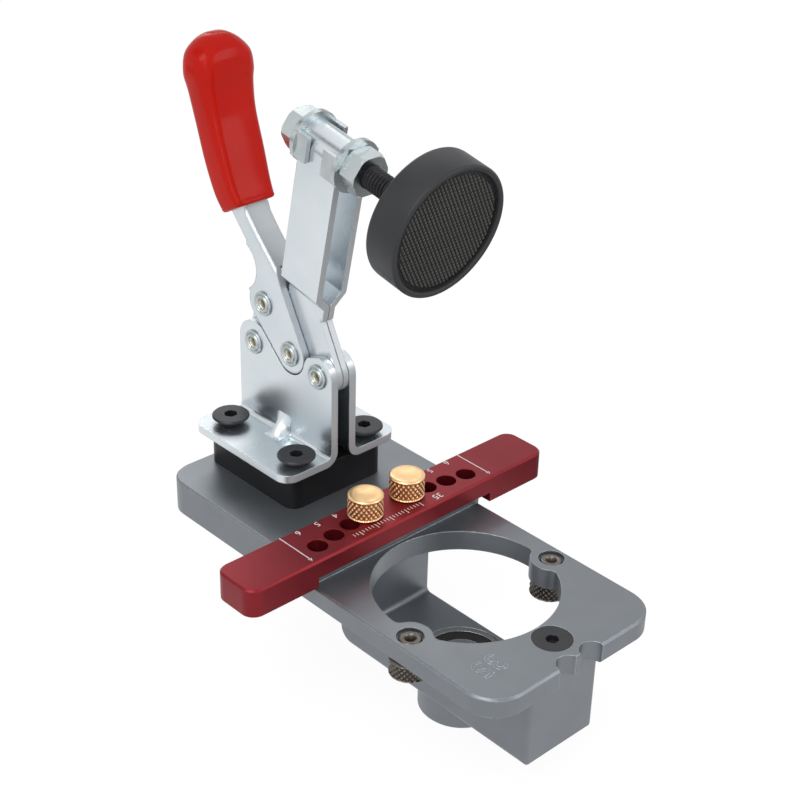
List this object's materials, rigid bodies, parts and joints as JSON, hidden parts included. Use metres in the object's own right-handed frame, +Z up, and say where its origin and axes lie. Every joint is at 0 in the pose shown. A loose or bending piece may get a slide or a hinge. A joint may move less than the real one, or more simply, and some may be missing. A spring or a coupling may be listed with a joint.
{
  "type": "hinge drilling jig",
  "caption": "Hinge-cup drilling jig: plate with cutter hole, adjustable red stop bar, guide bearing in a U bracket below, and a toggle clamp with a round pad.",
  "frame": {"origin": "centre of the cutter hole, on the seat for the door panel (top of the thin front of the plate)", "axes": "+Z up along the drill axis, +X along the stop bar, +Y from the cutter hole towards the clamp"},
  "size_m": [0.099, 0.1356, 0.1504],
  "materials": {
    "grey_anodised": "satin anodised",
    "red_anodised": "satin anodised",
    "brass": "turned and knurled",
    "zinc_steel": "bright zinc plated",
    "black_steel": "black oxide",
    "black_block": "satin",
    "red_grip": "glossy dipped",
    "pad_black": "satin",
    "rubber_face": "fine waffle grid",
    "bearing_steel": "ground",
    "seal_rubber": "smooth",
    "bush_steel": "nickel plated, knurled collar"
  },
  "bodies": {
    "base": {"base_plate": "grey_anodised", "guide_bracket": "grey_anodised", "bracket_screw_front": "black_steel", "bracket_screw_rear": "black_steel", "bearing_outer_ring": "bearing_steel", "bearing_seal_upper": "seal_rubber", "bearing_seal_lower": "seal_rubber", "spacer_block": "black_block", "clamp_base_left": "zinc_steel", "clamp_base_right": "zinc_steel", "clamp_screw_1": "black_steel", "clamp_screw_2": "black_steel", "clamp_screw_3": "black_steel", "clamp_screw_4": "black_steel", "rivet_base_rear": "zinc_steel", "rivet_base_front": "zinc_steel", "fence_block": "red_anodised"},
    "arm": {"clamp_arm": "zinc_steel"},
    "handle": {"handle_channel": "zinc_steel", "handle_grip": "red_grip", "rivet_handle_link": "zinc_steel", "rivet_handle_arm": "zinc_steel"},
    "link": {"toggle_link": "zinc_steel"},
    "spindle_carriage": {"flange_washer_front": "zinc_steel", "flange_washer_rear": "zinc_steel", "spindle_nut_front": "zinc_steel", "spindle_nut_rear": "zinc_steel"},
    "spindle": {"spindle_rod": "black_steel", "pad_housing": "pad_black", "pad_face": "rubber_face"},
    "thumb_screw_l": {"thumb_screw_left": "brass"},
    "thumb_screw_r": {"thumb_screw_right": "brass"},
    "bush_l": {"guide_bush_left": "bush_steel"},
    "bush_r": {"guide_bush_right": "bush_steel"},
    "bearing_inner": {"bearing_inner_ring": "bearing_steel"},
    "ball_cage": {"bearing_balls": "bearing_steel", "bearing_cage": "bearing_steel"}
  },
  "joints": [
    {"name": "arm_hinge", "type": "hinge", "parent": "base", "child": "arm", "pos_m": [0, 0.0505, 0.0376], "axis": [1, 0, 0], "range_deg": [0, 78.5]},
    {"name": "handle_hinge", "type": "hinge", "parent": "arm", "child": "handle", "pos_m": [0, 0.0613, 0.03975], "axis": [1, 0, 0], "range_deg": [-141.7, 0]},
    {"name": "link_hinge", "type": "hinge", "parent": "base", "child": "link", "pos_m": [0, 0.0757, 0.03765], "axis": [1, 0, 0], "range_deg": [0, 42.6]},
    {"name": "carriage_slide", "type": "slide", "parent": "arm", "child": "spindle_carriage", "axis": [0, 0.1994, -0.9799], "range_m": [0, 0.01]},
    {"name": "spindle_slide", "type": "slide", "parent": "spindle_carriage", "child": "spindle", "axis": [0, -0.9799, -0.1994], "range_m": [-0.01, 0.004]},
    {"name": "thumb_left_turn", "type": "hinge", "parent": "base", "child": "thumb_screw_l", "pos_m": [-0.007, 0.02875, 0.01], "axis": [0, 0, 1], "continuous": true},
    {"name": "thumb_right_turn", "type": "hinge", "parent": "base", "child": "thumb_screw_r", "pos_m": [0.007, 0.02875, 0.01], "axis": [0, 0, 1], "continuous": true},
    {"name": "bush_left_turn", "type": "hinge", "parent": "base", "child": "bush_l", "pos_m": [-0.024, -0.006, -0.005], "axis": [0, 0, 1], "continuous": true},
    {"name": "bush_right_turn", "type": "hinge", "parent": "base", "child": "bush_r", "pos_m": [0.024, -0.006, -0.005], "axis": [0, 0, 1], "continuous": true},
    {"name": "bearing_spin", "type": "hinge", "parent": "base", "child": "bearing_inner", "pos_m": [0, 0, -0.0246], "axis": [0, 0, 1], "continuous": true},
    {"name": "cage_spin", "type": "hinge", "parent": "base", "child": "ball_cage", "pos_m": [0, 0, -0.0246], "axis": [0, 0, 1], "continuous": true}
  ],
  "couplings": [
    {"joint": "handle_hinge", "follows": "arm_hinge", "ratio": -1.8039},
    {"joint": "link_hinge", "follows": "arm_hinge", "ratio": 0.54154},
    {"joint": "bearing_spin", "follows": "cage_spin", "ratio": 2.7027}
  ]
}
